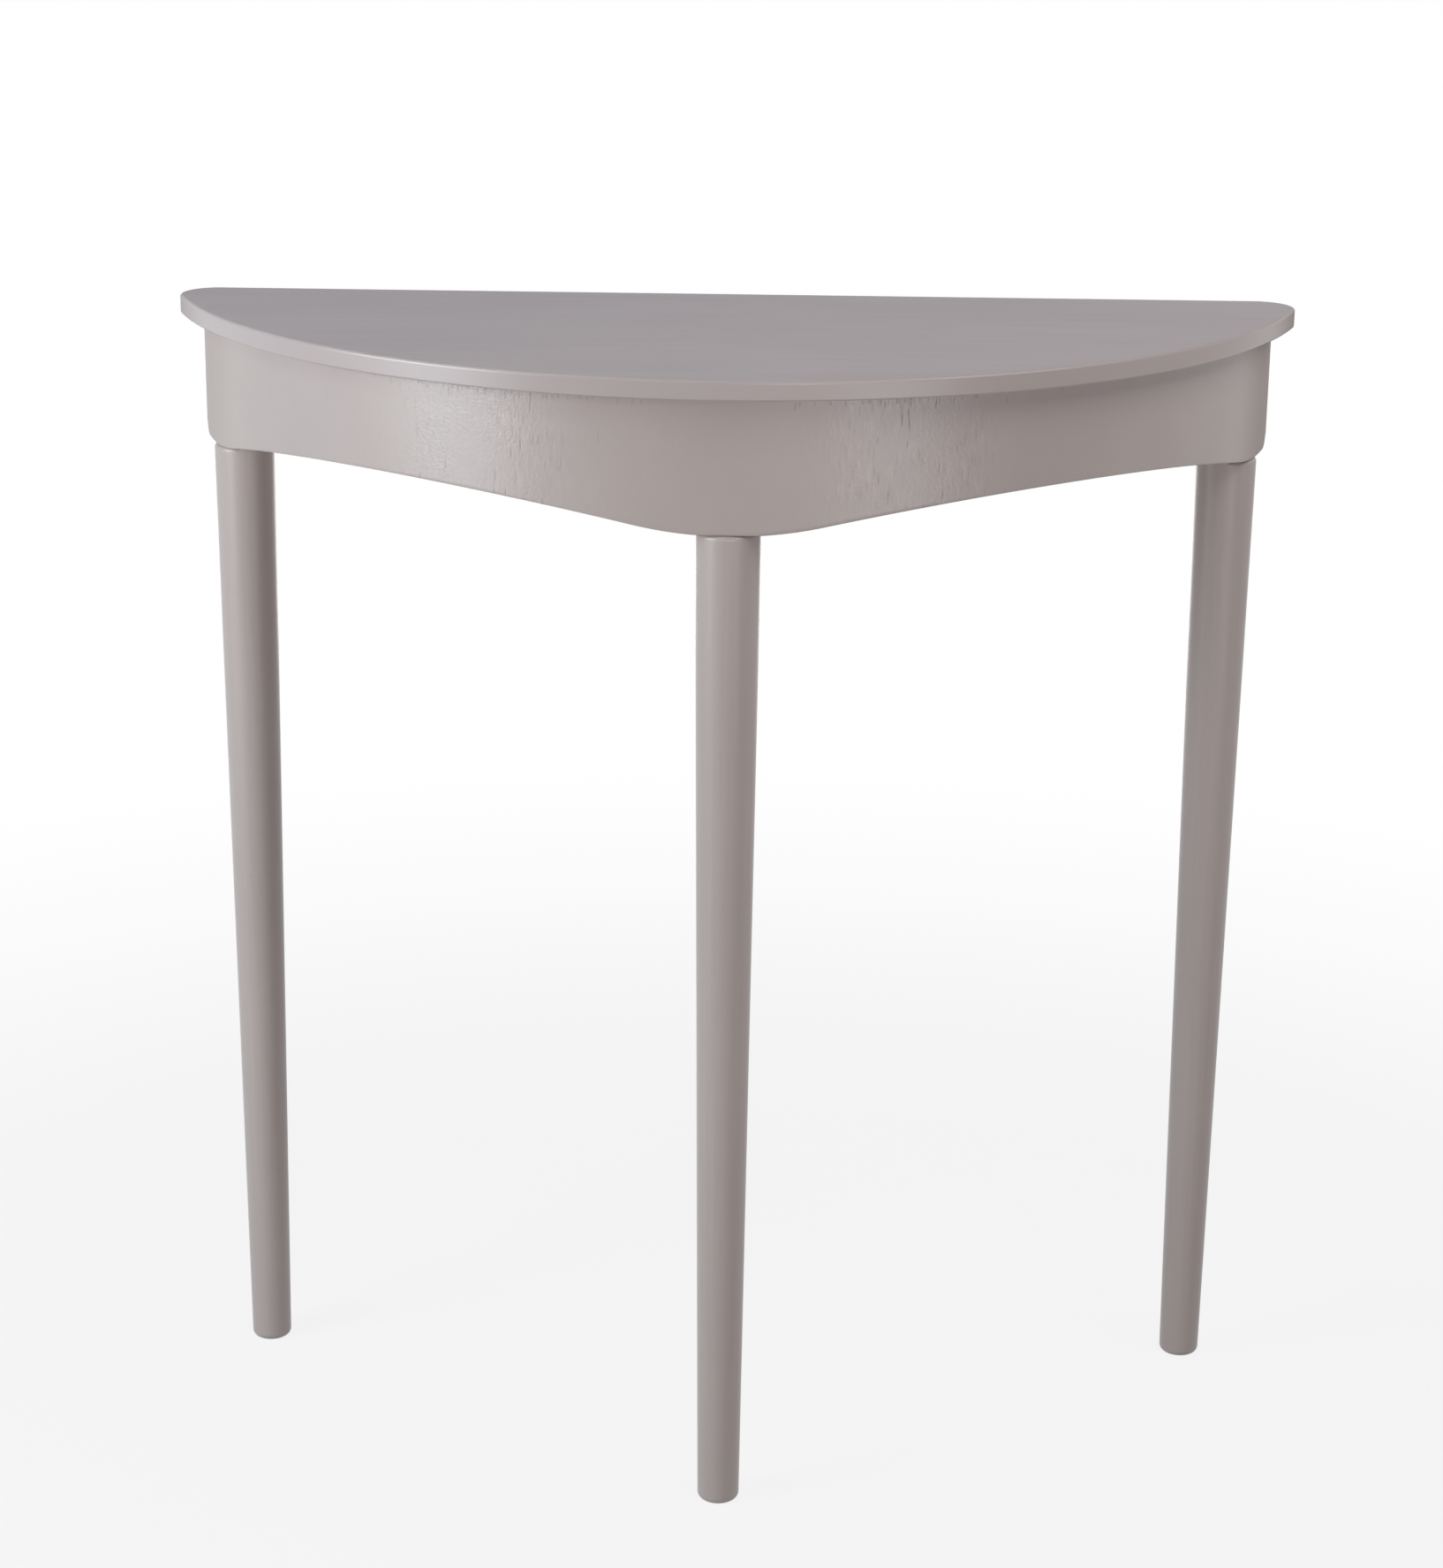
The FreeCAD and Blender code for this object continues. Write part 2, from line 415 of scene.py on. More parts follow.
apronShape = {
    "outer": 0.366,
    "glueLine": 0.361,
    "inner": 0.356,
    "deep": 0.0855,
    "archRise": 0.021,
    "tipRadius": 0.315,
    "tipLanding": 0.036,
    "legAngle": math.radians(69.504),
    "tipPastLeg": math.radians(2.5),
    "endRound": 0.010,        # lower corner at the flat back
    "sweep": math.radians(77),
    "split": 20,              # fine columns in each coarse one
    "arris": 0.0009,
    "arrisSteps": 3,
}

tipRadius = apronShape["tipRadius"]
tipAngle = apronShape["legAngle"] + apronShape["tipPastLeg"]
halfSpacing = apronShape["outer"] * tipAngle / 2
tipCutOff = tipRadius - math.sqrt(tipRadius ** 2 - (apronShape["tipLanding"] / 2) ** 2)
waveRise = apronShape["archRise"] + tipCutOff
archRadius = halfSpacing ** 2 / (2 * waveRise) - tipRadius + waveRise / 2
tipReach = halfSpacing * tipRadius / (archRadius + tipRadius)


# how far the lower edge lies below the top
def apronDepth(angle, y):
    shape = apronShape
    depth = shape["deep"]
    if abs(angle) < tipAngle:
        fromTip = shape["outer"] * min(abs(angle), tipAngle - abs(angle))
        if fromTip < tipReach:
            depth += tipCutOff - tipRadius + math.sqrt(tipRadius ** 2 - fromTip ** 2)
        else:
            fromCrown = halfSpacing - fromTip
            depth += archRadius - math.sqrt(archRadius ** 2 - fromCrown ** 2) - shape["archRise"]
        depth = min(depth, shape["deep"])
    rest = shape["endRound"] - max(0.0, plan["apronBackY"] - y)
    if rest > 0:
        depth -= shape["endRound"] - math.sqrt(shape["endRound"] ** 2 - rest ** 2)
    return depth


def roundAngle(co):
    return math.atan2(co.x, plan["arcY"] - co.y)


def roundRadius(co):
    return math.hypot(co.x, plan["arcY"] - co.y)


# one lamination, from its section swept round the arc and cut off at the flat back
def bentPly(outer, inner, columns, rows, shown, crowd=1.0):
    shape = apronShape
    bm = bmesh.new()
    high, low = plan["underTop"], plan["underTop"] - shape["deep"]
    corners = ((outer, low), (outer, high), (inner, high), (inner, low))
    section = [bm.verts.new((0, -radius, z)) for radius, z in corners]
    sides = [bm.edges.new((section[i - 1], section[i])) for i in range(4)]
    upright = {"outside": sides[1], "inside": sides[3]}
    bmesh.ops.subdivide_edges(bm, edges=[upright[shown]], cuts=rows)
    start = Matrix.Rotation(-shape["sweep"], 3, "Z")
    bmesh.ops.rotate(bm, verts=bm.verts, cent=(0, 0, 0), matrix=start)
    bmesh.ops.spin(
        bm, geom=bm.verts[:] + bm.edges[:], cent=(0, 0, 0), axis=(0, 0, 1),
        angle=2 * shape["sweep"], steps=columns // shape["split"],
    )
    bmesh.ops.translate(bm, verts=bm.verts, vec=(0, plan["arcY"], 0))

    def runsRound(edge):
        begin, end = (vert.co for vert in edge.verts)
        return abs(begin.z - end.z) < 1e-7 and abs(roundAngle(begin) - roundAngle(end)) > 1e-4

    bowed = [edge for edge in bm.edges if runsRound(edge)]
    bmesh.ops.subdivide_edges(bm, edges=bowed, cuts=shape["split"] - 1, use_grid_fill=True)

    # the new columns go out to the arc, and the rows follow the lower edge
    for vert in bm.verts:
        angle = roundAngle(vert.co)
        radius = outer if roundRadius(vert.co) > (outer + inner) / 2 else inner
        share = max(0.0, (high - vert.co.z) / shape["deep"]) ** crowd
        vert.co.x = radius * math.sin(angle)
        vert.co.y = plan["arcY"] - radius * math.cos(angle)
        vert.co.z = high - share * apronDepth(angle, vert.co.y)
    fromEdge = bm.verts.layers.float.new("fromEdge")
    for vert in bm.verts:
        depth = apronDepth(roundAngle(vert.co), vert.co.y)
        vert[fromEdge] = vert.co.z - high + depth
    bmesh.ops.bisect_plane(
        bm, geom=everything(bm), plane_co=(0, plan["apronBackY"], 0), plane_no=(0, 1, 0), clear_outer=True
    )
    openEdges = [edge for edge in bm.edges if edge.is_boundary]
    bmesh.ops.holes_fill(bm, edges=openEdges, sides=0)
    bmesh.ops.recalc_face_normals(bm, faces=bm.faces)
    return bm


def easeLowerEdge(bm, radius):
    near = 2e-5

    def onEdge(vert):
        edgeZ = plan["underTop"] - apronDepth(roundAngle(vert.co), vert.co.y)
        return abs(edgeZ - vert.co.z) < near and abs(roundRadius(vert.co) - radius) < near

    marked = {vert for vert in bm.verts if onEdge(vert)}
    arris = [edge for edge in bm.edges if all(vert in marked for vert in edge.verts)]
    ease(bm, arris, apronShape["arris"], apronShape["arrisSteps"])


# the sheet's own coordinates: metres round the arc, and metres up from the top, so below 0
def layOutSheet(bm, radius):
    sheet = bm.loops.layers.uv.new("sheet")
    for face in bm.faces:
        for loop in face.loops:
            co = loop.vert.co
            loop[sheet].uv = (radius * roundAngle(co), co.z - plan["underTop"])


# checks in the face veneer: angle in degrees, start and end in mm below the top, depth in mm
openChecks = [
    (-27.7, 4, 12, 0.17), (-18.9, 4, 17, 0.22), (-21.0, 39, 46, 0.20), (-20.0, 32, 42, 0.22),
    (-20.5, 53, 61, 0.18), (-22.7, 53, 61, 0.18), (-16.0, 41, 50, 0.14), (-28.1, 50, 55, 0.14),
    (-31.1, 62, 66, 0.26), (-22.8, 64, 68, 0.22), (-21.6, 65, 69, 0.19), (-17.8, 68, 73, 0.26),
    (16.3, 11, 21, 0.26), (17.0, 9, 23, 0.22), (14.6, 4, 9, 0.22), (14.0, 26, 30, 0.21),
    (16.9, 29, 33, 0.22), (14.1, 49, 55, 0.26), (15.1, 58, 68, 0.18), (20.6, 61, 68, 0.29),
    (18.6, 69, 74, 0.29), (18.1, 35, 41, 0.17), (20.2, 43, 51, 0.17), (19.7, 4, 11, 0.21),
    (21.5, 3, 8, 0.22), (6.5, 82, 87, 0.22), (-63.0, 84, 88, 0.19), (27.0, 6, 11, 0.17),
]

veneer = {
    "columns": 1960,
    "rows": 40,
    "crowd": 1.5,                     # rows lie closer towards the top
    "seed": 11,
    # short shallow checks, and torn fibres along the upper edge: how many, start, length and depth in metres
    "fineChecks": (50, (0.002, 0.082), (0.003, 0.011), (0.00002, 0.00007)),
    "tears": (60, (0.0010, 0.0050), (0.0025, 0.0055), (0.00008, 0.00021)),
    "patches": ((-23, 6.5), (17, 5.5)),           # two rough patches, middle and spread in degrees
    "patchShare": 0.88,               # of the checks, the others lie anywhere between the strays
    "strays": (-45, 45),
    "patchFade": (1.9, 0.7),          # spreads from its middle where a patch begins and is all rough
    "lean": 0.09,
    "runOut": 0.2,                    # share of its depth that a check has at its ends
    "fullShadeDepth": 0.0002,               # a check of this depth gets the full painted shade
    "carved": 0.45,                   # share of a check's depth that is cut, the rest is painted shade in its colour
    "ridge": 0.000022,                # heights of the telegraphed grain
    "ridgeWaves": (260, 60, 3.1),     # waves a metre across and down, and a level in the noise
    "roll": 0.00016,
    "rollWaves": (11, 9, 5.7),
    "faceClear": 0.0005,              # only the outer face is carved, clear of the ends
    "endClear": 0.0002,
}


def drawChecks(look):
    draw = random.Random(look["seed"])
    checks = [(math.radians(a), -0.001 * s, -0.001 * e, 0.001 * d) for a, s, e, d in openChecks]
    for count, *limits in (look["fineChecks"], look["tears"]):
        for check in range(count):
            middle, spread = draw.choice(look["patches"])
            inPatch = draw.random() < look["patchShare"]
            angle = draw.gauss(middle, spread) if inPatch else draw.uniform(*look["strays"])
            start, length, depth = [draw.uniform(*ends) for ends in limits]
            checks.append((math.radians(angle), -start, -start - length, depth))
    leans = [draw.uniform(-look["lean"], look["lean"]) for check in checks]
    return [(*check, lean) for check, lean in zip(checks, leans)]


# how far a place on the face lies in a rough patch, 0 to 1
def roughShare(angle):
    away = [(math.degrees(angle) - middle) / spread for middle, spread in veneer["patches"]]
    return max(math.exp(-0.5 * distance ** 2) for distance in away)


def ripple(along, drop, waves):
    across, down, level = waves
    return noise.noise(Vector((along * across, drop * down, level)))


def carveFace(bm, look):
    outer = apronShape["outer"]
    pitch = 2 * apronShape["sweep"] / look["columns"]
    columns = {}
    for angle, *check in drawChecks(look):
        base = angle / pitch
        for column in range(round(base) - 2, round(base) + 3):
            columns.setdefault(column, []).append((base, *check))
    checkDepthShade = bm.verts.layers.float.new("checkDepthShade")
    for vert in bm.verts:
        angle = roundAngle(vert.co)
        inside = roundRadius(vert.co) < outer - look["faceClear"]
        if inside or vert.co.y > plan["apronBackY"] - look["endClear"]:
            continue
        drop = vert.co.z - plan["underTop"]
        ridge = ripple(outer * angle, drop, look["ridgeWaves"])
        roll = ripple(outer * angle, drop, look["rollWaves"])
        depth = look["ridge"] * (1 - ridge) * roughShare(angle) + look["roll"] * (1 - roll) / 2
        cut = 0.0
        column = round(angle / pitch)
        for base, start, end, deep, lean in columns.get(column, ()):
            wander = lean * (drop - start) / (pitch * outer)
            if end < drop < start and round(base + wander) == column:
                ends = min(start - drop, drop - end) / (start - end) * 3
                cut = max(cut, deep * min(1.0, ends + look["runOut"]))
        # how much painted shade a check gets, from its depth
        vert[checkDepthShade] = min(1.0, cut / look["fullShadeDepth"])
        inward = Vector((-math.sin(angle), math.cos(angle), 0))
        vert.co += inward * (depth + cut * look["carved"])


apronPaint = {
    "shader": {"IOR": 1.74},
    "tone": (168, 158, 156),
    "shade": (161, 151, 149),
    # painted shade in the checks and torn fibres, also the colour of dust
    "checkShadeAndDust": (88, 80, 77),
    "ridge": (177, 167, 165),         # lighter and darker in the rough patches: partly thin and thick paint, partly painted highlight and painted shade on the grain
    "valleyShade": (147, 137, 135),
    "mottle": (430, 75, 1),
    "ridgeHighlightStep": (0.52, 0.68),
    "valleyShadeStep": (0.47, 0.31),
    "roughness": 0.305,
    "dimming": 0.45,
    "broad": (7, 5, 1),
    "fibre": (760, 230, 1),           # upright fibres of the veneer under the paint
    "fibreHeight": 0.00004,
    "pebble": (500, 400, 1),
    "pebbleHeight": 0.00022,
    "patch": (17, 22, 1),             # uneven within a rough patch
    "patchStep": (0.42, 0.62),
    "torn": (520, 120, 1),
    "tornStep": (0.57, 0.63),
    "tornBand": (-0.0095, -0.0055),   # the veneer is torn just under the top
    "dust": (60, 0.06, 0.10),
    "dustHeight": 0.00005,
    "pits": (190, 0.16, 0.16),
    "pitDepth": 0.00006,
    "checkDepth": 0.00003,
}


# the two rough patches, from the sheet's length
def roughPatches(finish, along):
    patches = 0.0
    for middle, spread in veneer["patches"]:
        away = (along - apronShape["outer"] * math.radians(middle)) ** 2
        reach = apronShape["outer"] * math.radians(spread)
        patches = finish.step(away, *((share * reach) ** 2 for share in veneer["patchFade"])) + patches
    return patches


def apronFinish(look):
    finish = SurfaceFinish("satinTaupeApron", look["shader"])
    where = finish.node("UVMap", {"uv_map": "sheet"})
    checkDepthShade = finish.node("Attribute", {"attribute_name": "checkDepthShade"}, None, "Fac")
    along, drop = finish.axes(where)[:2]
    broad = finish.grain(where, look["broad"], 3)
    fibre = finish.grain(where, look["fibre"], 3, 0.6)
    pebble = finish.grain(where, look["pebble"], 2, 0.55)
    mottle = finish.grain(where, look["mottle"], 3, 0.6)
    patch = finish.step(finish.grain(where, look["patch"], 2), *look["patchStep"])
    dust = finish.nibs(where, *look["dust"])
    pits = finish.nibs(where, *look["pits"]) * patch
    zone = roughPatches(finish, along)
    band = finish.step(drop, *look["tornBand"])
    torn = finish.step(finish.grain(where, look["torn"], 1) * band, *look["tornStep"]) * zone
    grainLightAndShade = (patch * 0.65 + 0.15) * zone
    rough = (patch * 0.5 + 0.4) * zone + 0.1
    colour = finish.clouded(broad * 0.8 + fibre * 0.2, look)
    # lighter and darker mottle in the rough patches: painted highlight and painted shade standing in for
    # light on the grain's relief, partly uneven paint
    colour = finish.blend(finish.step(mottle, *look["ridgeHighlightStep"]) * grainLightAndShade, colour, tone(*look["ridge"]))
    colour = finish.blend(finish.step(mottle, *look["valleyShadeStep"]) * grainLightAndShade, colour, tone(*look["valleyShade"]))
    # checks and torn fibres painted darker: painted shade in their hollows
    colour = finish.blend((checkDepthShade * 0.6).most(torn * 0.4), colour, tone(*look["checkShadeAndDust"]))
    colour = finish.blend(dust * 0.3, colour, tone(*look["checkShadeAndDust"]))
    roughness = look["roughness"] + (broad - 0.5) * 0.05 + checkDepthShade * 0.3
    roughness = roughness + finish.lowView() * look["dimming"]
    height = fibre * rough * look["fibreHeight"] + pebble * rough * look["pebbleHeight"]
    height = height + dust * look["dustHeight"] - pits * look["pitDepth"]
    height = height - checkDepthShade * look["checkDepth"] - torn * look["checkDepth"]
    return finish.surface(colour, roughness, height)


def makeApronFace(shape, look):
    bm = bentPly(shape["outer"], shape["glueLine"], look["columns"], look["rows"], "outside", look["crowd"])
    easeLowerEdge(bm, shape["outer"])
    carveFace(bm, look)
    layOutSheet(bm, shape["outer"])
    addPiece(bm, "apronFace", "painted_apron", apronFinish(apronPaint), "apron_outer_ply")


makeApronFace(apronShape, veneer)


# inner lamination, bare inside but painted along its lower edge

plywood = {
    "light": (215, 187, 146),
    "dark": (188, 154, 110),
    "glue": (150, 112, 76),
    "roughness": 0.62,
    "figure": (34, 5, 1),
    "fibre": (640, 22, 1),
    "pores": (900, 60, 1),
    "poreStep": (0.62, 0.75),
    "relief": 0.00004,
    "core": (0.30, 0.36, 0.64, 0.70),             # middle veneer, as shares of the sheet
    "paint": (165, 155, 152),
    "lap": (0.0075, 0.0035),          # how far the paint laps up the inside
    "ragged": (160, 160, 1),
    "raggedWidth": 0.006,
    "columns": 400,
    "rows": 10,
}


def plywoodFinish(look):
    finish = SurfaceFinish("barePlywood", {"IOR": 1.5})
    where = finish.node("UVMap", {"uv_map": "sheet"})
    fromEdge = finish.node("Attribute", {"attribute_name": "fromEdge"}, None, "Fac")
    figure = finish.grain(where, look["figure"], 3, 0.55, 0.6)
    fibre = finish.grain(where, look["fibre"], 3, 0.6)
    pores = finish.step(finish.grain(where, look["pores"], 1), *look["poreStep"])
    wood = finish.blend(figure * 0.6 + fibre * 0.4, tone(*look["light"]), tone(*look["dark"]))
    wood = finish.blend(pores * 0.35, wood, tone(*look["glue"]))
    inner, glueLine = apronShape["inner"], apronShape["glueLine"]
    through = (finish.outFromArc(finish.objectPlace()) - inner) * (1 / (glueLine - inner))
    coreStart, coreFull, coreFades, coreEnd = look["core"]
    core = finish.step(through, coreStart, coreFull) * finish.step(through, coreEnd, coreFades)
    wood = finish.blend(core * 0.45, wood, tone(*look["glue"]))
    ragged = finish.ragged(where, look["ragged"], look["raggedWidth"])
    lapped = finish.step(fromEdge + ragged, *look["lap"])
    colour = finish.blend(lapped, wood, tone(*look["paint"]))
    roughness = look["roughness"] + (fibre - 0.5) * 0.15 - lapped * 0.3
    height = (1 - lapped) * (fibre * look["relief"] - pores * look["relief"])
    return finish.surface(colour, roughness, height)


def makeApronBack(shape, look):
    bm = bentPly(shape["glueLine"], shape["inner"], look["columns"], look["rows"], "inside")
    easeLowerEdge(bm, shape["inner"])
    layOutSheet(bm, shape["inner"])
    addPiece(bm, "apronBack", "bare_plywood", plywoodFinish(look), "apron_inner_ply")


makeApronBack(apronShape, plywood)


# turned legs

legPaint = {
    "tone": (172, 163, 161),
    "shade": (166, 157, 155),
    "roughness": 0.34,
    "broad": (9, 9, 4),
    "lines": (330, 330, 6),
    "lineHeight": 0.000012,
    "rings": (14, 14, 420),           # faint turning marks
    "ringHeight": 0.000006,
    "peel": (520, 520, 520),
    "peelHeight": 0.000006,
    "dust": (55, 0.06, 0.10),
    "dustTone": (118, 109, 105),
    "dustHeight": 0.00005,
}


def legFinish(look):
    finish = SurfaceFinish("satinTaupeLeg", {"IOR": 1.5})
    where = finish.objectPlace()
    broad = finish.grain(where, look["broad"], 3)
    lines = finish.grain(where, look["lines"], 3)
    rings = finish.grain(where, look["rings"], 2)
    peel = finish.grain(where, look["peel"], 1)
    dust = finish.nibs(where, *look["dust"])
    colour = finish.clouded(broad * 0.65 + lines * 0.35, look)
    colour = finish.blend(dust * 0.35, colour, tone(*look["dustTone"]))
    roughness = look["roughness"] + (broad - 0.5) * 0.1 + (lines - 0.5) * 0.05
    height = lines * look["lineHeight"] + rings * look["ringHeight"]
    height = height + peel * look["peelHeight"] + dust * look["dustHeight"]
    return finish.surface(colour, roughness, height)


turnedLeg = {
    "topRadius": 0.020,
    "footRadius": 0.0135,
    "length": 0.6525,
    "boreRadius": 0.0041,
    "boreDepth": 0.040,
    "shoulder": 0.0030,
    "shoulderSteps": 5,
    "footRound": 0.0042,
    "footSteps": 6,
    "lip": 0.001,             # narrow band beside each rounded edge
    "sides": 96,
    "rows": 48,
}


def makeLeg(node, name, material):
    size = turnedLeg
    bm = bmesh.new()
    length, bore = size["length"], size["boreRadius"]
    outline = (
        (0, 0), (size["footRadius"], 0), (size["topRadius"], length),
        (bore, length), (bore, length - size["boreDepth"]), (0, length - size["boreDepth"]),
    )
    points = [bm.verts.new((radius, 0, z)) for radius, z in outline]
    for first, second in zip(points, points[1:]):
        bm.edges.new((first, second))
    bmesh.ops.spin(
        bm, geom=bm.verts[:] + bm.edges[:], cent=(0, 0, 0), axis=(0, 0, 1),
        angle=2 * math.pi, steps=size["sides"], use_merge=True,
    )
    bmesh.ops.remove_doubles(bm, verts=bm.verts, dist=samePlace)
    bmesh.ops.recalc_face_normals(bm, faces=bm.faces)

    def ring(radius, z):
        def onRing(vert):
            return abs(vert.co.z - z) < samePlace and abs(vert.co.xy.length - radius) < samePlace
        return [edge for edge in bm.edges if all(onRing(vert) for vert in edge.verts)]

    ease(bm, ring(size["topRadius"], length), size["shoulder"], size["shoulderSteps"])
    ease(bm, ring(size["footRadius"], 0), size["footRound"], size["footSteps"])
    cutLoop(bm, length - size["shoulder"] - size["lip"])
    cutLoop(bm, size["footRound"] + size["lip"])
    staves = [edge for edge in bm.edges if edge.calc_length() > length / 2]
    bmesh.ops.subdivide_edges(bm, edges=staves, cuts=size["rows"], use_grid_fill=True)
    low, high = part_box(node)
    middle = (low + high) / 2
    bmesh.ops.translate(bm, verts=bm.verts, vec=(middle.x, middle.y, low.z))
    addPiece(bm, name, "painted_leg", material, node)


legMaterial = legFinish(legPaint)
for legNode, legName in (("front_leg", "frontLeg"), ("left_leg", "leftLeg"), ("right_leg", "rightLeg")):
    makeLeg(legNode, legName, legMaterial)


# pine rail and blocks: the solids' own shapes, with their long edges eased

pine = {
    "early": (222, 190, 143),
    "late": (186, 139, 88),
    "heart": (203, 164, 115),
    "roughness": 0.6,
    "rings": 330,                     # growth rings a metre
    "ringSway": 5,                    # rings
    "sway": (3.5, 16, 16),
    "pith": (0.35, 0.19, -0.62),
    "fibre": (18, 820, 820),
    "broad": (5, 30, 30),
    "relief": 0.00003,
    "lap": (0.6720, 0.6670),          # paint on the lower ends of the leg blocks, metres above the floor
    "ragged": (150, 150, 40),
    "raggedWidth": 0.006,
    "paint": (165, 155, 152),
    "arris": 0.0007,
    "arrisSteps": 2,
    "longEdge": 0.012,
    "sharpEdge": 0.6,                 # radians
    "flat": math.radians(0.5),
}


def pineFinish(name, look, turn, tilt=0.0, lapped=False):
    finish = SurfaceFinish(name, {"IOR": 1.5})
    place = finish.objectPlace()
    where = finish.mapped(place, turn=(0, tilt, -turn))
    y, z = finish.axes(finish.mapped(where, shift=look["pith"]))[1:]
    sway = finish.grain(where, look["sway"], 2)
    ring = ((y ** 2 + z ** 2) ** 0.5 * look["rings"] + sway * look["ringSway"]).fract()
    late = finish.step(ring, 0.35, 0.92) * finish.step(ring, 1.0, 0.95)
    fibre = finish.grain(where, look["fibre"], 2, 0.6)
    broad = finish.grain(where, look["broad"], 2)
    colour = finish.blend(late * 0.75 + fibre * 0.2, tone(*look["early"]), tone(*look["late"]))
    colour = finish.blend(broad * 0.25, colour, tone(*look["heart"]))
    roughness = look["roughness"] + (fibre - 0.5) * 0.16 - late * 0.08
    if lapped:
        ragged = finish.ragged(place, look["ragged"], look["raggedWidth"])
        painted = finish.step(finish.axes(place)[2] + ragged, *look["lap"])
        colour = finish.blend(painted, colour, tone(*look["paint"]))
        roughness = roughness - painted * 0.28
    return finish.surface(colour, roughness, late * look["relief"] + fibre * look["relief"])


def easedBlock(node, name, material):
    bm = bmesh.new()
    bm.from_mesh(nodes[node].data)
    bmesh.ops.remove_doubles(bm, verts=bm.verts, dist=samePlace)
    bmesh.ops.dissolve_limit(bm, angle_limit=pine["flat"], verts=bm.verts, edges=bm.edges)
    longEdges = [edge for edge in bm.edges if edge.calc_length() > pine["longEdge"] and edge.is_manifold]
    arrises = [edge for edge in longEdges if edge.calc_face_angle() > pine["sharpEdge"]]
    ease(bm, arrises, pine["arris"], pine["arrisSteps"], clamp=True)
    addPiece(bm, name, "bare_pine", material, node, sharp=20)


straightPine = pineFinish("barePine", pine, 0.0)
uprightPine = pineFinish("barePineUpright", pine, 0.0, math.pi / 2, lapped=True)
for node, name, material in (
    ("back_rail", "backRail", straightPine),
    ("front_leg_block", "frontLegBlock", uprightPine),
    ("left_leg_block", "leftLegBlock", uprightPine),
    ("right_leg_block", "rightLegBlock", uprightPine),
    ("rail_block_left", "railBlockLeft", straightPine),
    ("rail_block_right", "railBlockRight", straightPine),
):
    easedBlock(node, name, material)
for side, sign in (("left", -1), ("right", 1)):
    for end, share in (("front", 1 / 3), ("rear", 2 / 3)):
        turn = sign * share * apronShape["legAngle"]
        material = pineFinish(f"barePine{side.title()}{end.title()}", pine, turn)
        easedBlock(f"glue_block_{side}_{end}", f"glueBlock{side.title()}{end.title()}", material)


# steel fixings and dowels keep their solids

steel = {
    "tone": (188, 190, 193),
    "stain": (168, 164, 150),
    "roughness": 0.38,
    "cloud": (240, 240, 240),
    "turned": (300, 300, 2600),
    "turnedHeight": 0.00002,
}


def steelFinish(look):
    finish = SurfaceFinish("zincSteel", {"Metallic": 1.0})
    where = finish.objectPlace()
    cloud = finish.grain(where, look["cloud"], 3)
    turned = finish.grain(where, look["turned"], 2)
    colour = finish.blend(finish.step(cloud, 0.4, 0.7), tone(*look["tone"]), tone(*look["stain"]))
    roughness = look["roughness"] + (cloud - 0.5) * 0.2 + (turned - 0.5) * 0.12
    return finish.surface(colour, roughness, turned * look["turnedHeight"])


zinc = steelFinish(steel)
for node, material in (
    ("leg_threaded_inserts", zinc),
    ("leg_hanger_bolts", zinc),
    ("top_screws", zinc),
    ("rail_dowels", straightPine),
):
    nodes[node].data.materials.clear()
    nodes[node].data.materials.append(material)
print("inner parts finished")


# plain floor, the white surround and soft boxes

floorLook = {
    "size": 40.0,
    "tone": (182, 182, 182),
    "glow": 0.86,             # share of plain white under the table, the rest takes its shadow
    "fade": (0.5, 1.6),       # metres from the table, where the floor turns all white
}

plainWhite = {"Color": (1, 1, 1, 1), "Strength": 1.0}


def makeFloor(look):
    bm = bmesh.new()
    bmesh.ops.create_grid(bm, x_segments=1, y_segments=1, size=look["size"] / 2)
    mesh = bpy.data.meshes.new("floor")
    bm.to_mesh(mesh)
    bm.free()
    floor = bpy.data.objects.new("floor", mesh)
    scene.collection.objects.link(floor)
    material = bpy.data.materials.new("paleFloor")
    material.use_nodes = True
    finish = Finish(material.node_tree)
    matt = finish.node("BsdfDiffuse", None, {"Color": tone(*look["tone"])})
    white = finish.node("Emission", None, plainWhite)
    away = finish.node("VectorMath", {"operation": "LENGTH"}, {0: finish.objectPlace()}, "Value")
    far = finish.step(away, *look["fade"])
    share = finish.whiteRays() * (look["glow"] + (1 - look["glow"]) * far)
    mixed = finish.node("MixShader", None, {0: share, 1: matt, 2: white})
    finish.endWith(mixed, "Principled BSDF", "Material Output")
    mesh.materials.append(material)


makeFloor(floorLook)

surround = {"Color": (1.0, 0.995, 0.985, 1), "Strength": 0.03}


def makeSurround(look):
    world = bpy.data.worlds.new("whiteSurround")
    scene.world = world
    world.use_nodes = True
    finish = Finish(world.node_tree)
    soft = finish.node("Background", None, look)
    white = finish.node("Background", None, plainWhite)
    mixed = finish.node("MixShader", None, {0: finish.whiteRays(), 1: soft, 2: white})
    finish.endWith(mixed, "Background", "World Output")


makeSurround(surround)

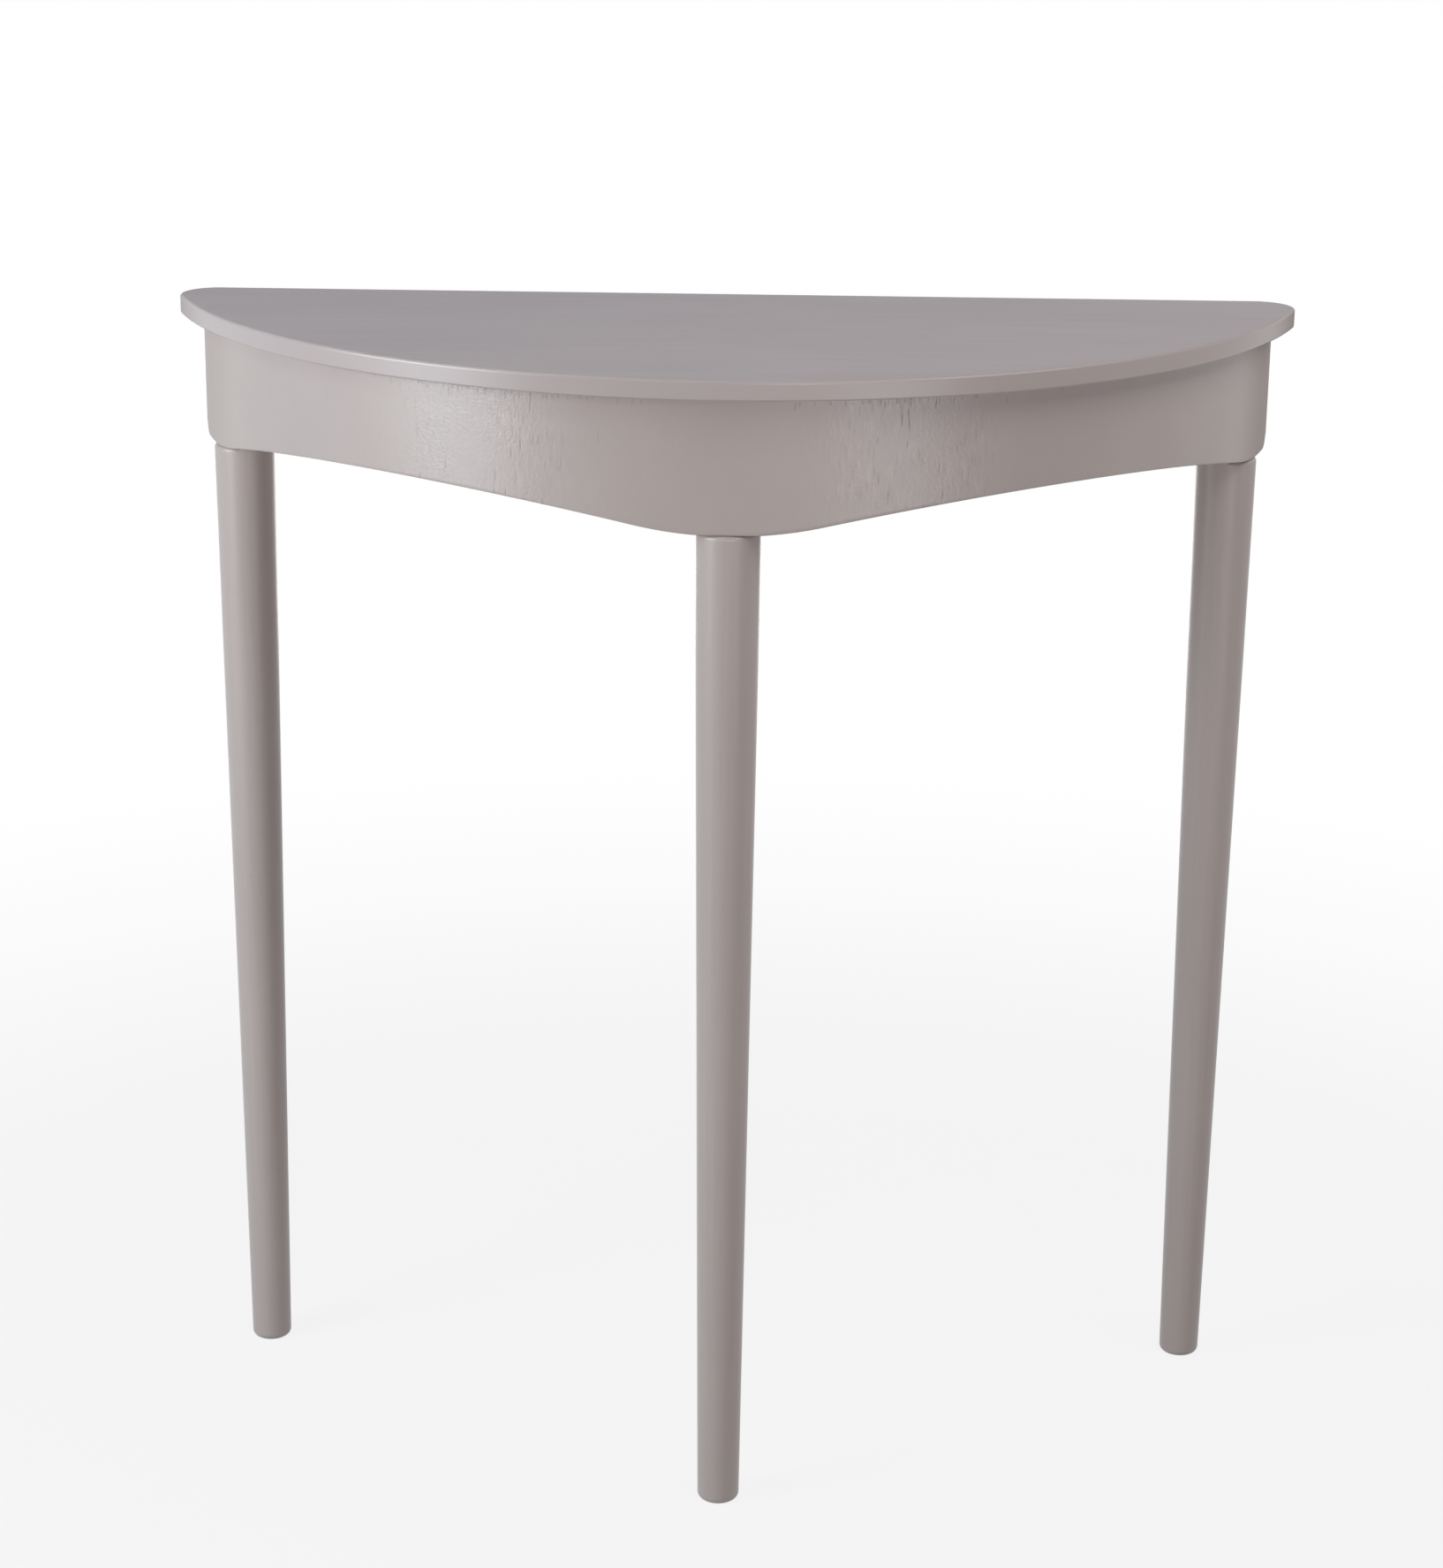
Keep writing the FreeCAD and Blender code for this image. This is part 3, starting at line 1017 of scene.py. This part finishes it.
softBoxes = {                 # degrees round from the front, metres out and up, size, watts, tint
    "leftWindow": (-64, 1.80, 0.95, (1.00, 0.70), 19.3, (0.98, 1.00, 1.00)),
    "leftUpper": (-61, 1.75, 1.45, (1.00, 1.10), 5.2, (0.85, 1.00, 0.98)),
    "leftGlow": (-59, 1.75, 0.42, (0.70, 0.60), 2.9, (0.82, 0.91, 1.00)),
    "leftRear": (-98, 1.90, 0.75, (1.20, 1.20), 1.1, (0.55, 0.60, 1.00)),
    "leftSpark": (-62, 1.70, 1.95, (0.35, 0.25), 2.2, (1.00, 1.00, 1.00)),
    "frontFill": (14, 2.60, 0.95, (0.80, 0.60), 11.6, (1.00, 0.84, 0.80)),
    "rightGlow": (32, 2.10, 0.36, (0.72, 0.60), 3.2, (0.90, 0.93, 1.00)),
    "rightSpark": (33, 1.80, 1.85, (0.25, 0.25), 2.0, (1.00, 1.00, 1.00)),
    "rightHigh": (54, 1.50, 2.20, (1.00, 1.00), 10.5, (0.98, 1.00, 0.90)),
    "rightUpper": (76, 1.50, 2.10, (1.20, 1.20), 7.5, (1.00, 0.90, 0.80)),
    "rightSide": (95, 2.00, 1.20, (1.60, 1.40), 1.0, (1.00, 0.80, 0.94)),
    "overTop": (175, 0.80, 2.30, (1.40, 1.40), 5.0, (0.68, 0.65, 1.00)),
    "lowRear": (180, 2.00, 0.36, (2.20, 0.70), 14.0, (1.00, 0.98, 0.96)),
}

lampAim = Vector((0, 0, 0.62))        # every soft box points here


def addSoftBox(name, turn, out, up, size, watts, tint):
    lamp = bpy.data.lights.new(name, "AREA")
    lamp.shape = "RECTANGLE"
    lamp.size, lamp.size_y = size
    lamp.energy = watts
    lamp.color = tint
    light = bpy.data.objects.new(name, lamp)
    bearing = math.radians(turn)
    light.location = (out * math.sin(bearing), -out * math.cos(bearing), up)
    light.rotation_mode = "QUATERNION"
    light.rotation_quaternion = (lampAim - light.location).to_track_quat("-Z", "Y")
    light.visible_camera = False
    scene.collection.objects.link(light)


for name, setting in softBoxes.items():
    addSoftBox(name, *setting)
print("stage set")
